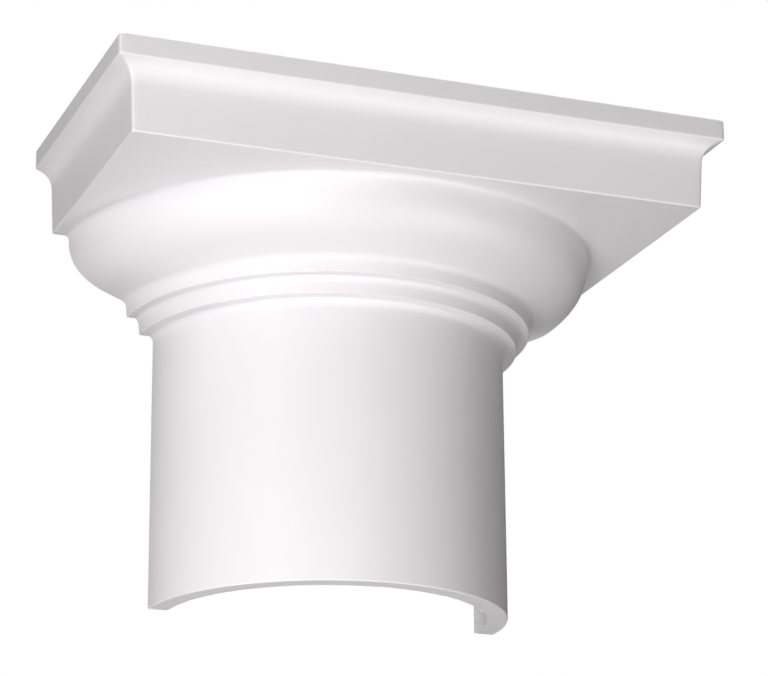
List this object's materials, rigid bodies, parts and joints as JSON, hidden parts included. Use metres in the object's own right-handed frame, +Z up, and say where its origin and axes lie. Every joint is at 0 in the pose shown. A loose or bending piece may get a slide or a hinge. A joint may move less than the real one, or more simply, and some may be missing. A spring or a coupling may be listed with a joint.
{
  "type": "half-round doric capital",
  "caption": "Half-round Doric capital in white foam: half-square moulded abacus, echinus with annulets and a hollow plain neck, flat at the back for a wall.",
  "frame": {"origin": "under the middle of the whole piece, level with the neck's lower rim", "axes": "+Z up; +X to the right along the wall; the flat back faces +Y and the moulded front faces -Y"},
  "size_m": [0.375, 0.1876, 0.281],
  "materials": {
    "primed_foam": "smooth white primer on moulded hard polyurethane foam, satin"
  },
  "bodies": {
    "root": {"half_capital": "primed_foam"}
  },
  "joints": []
}
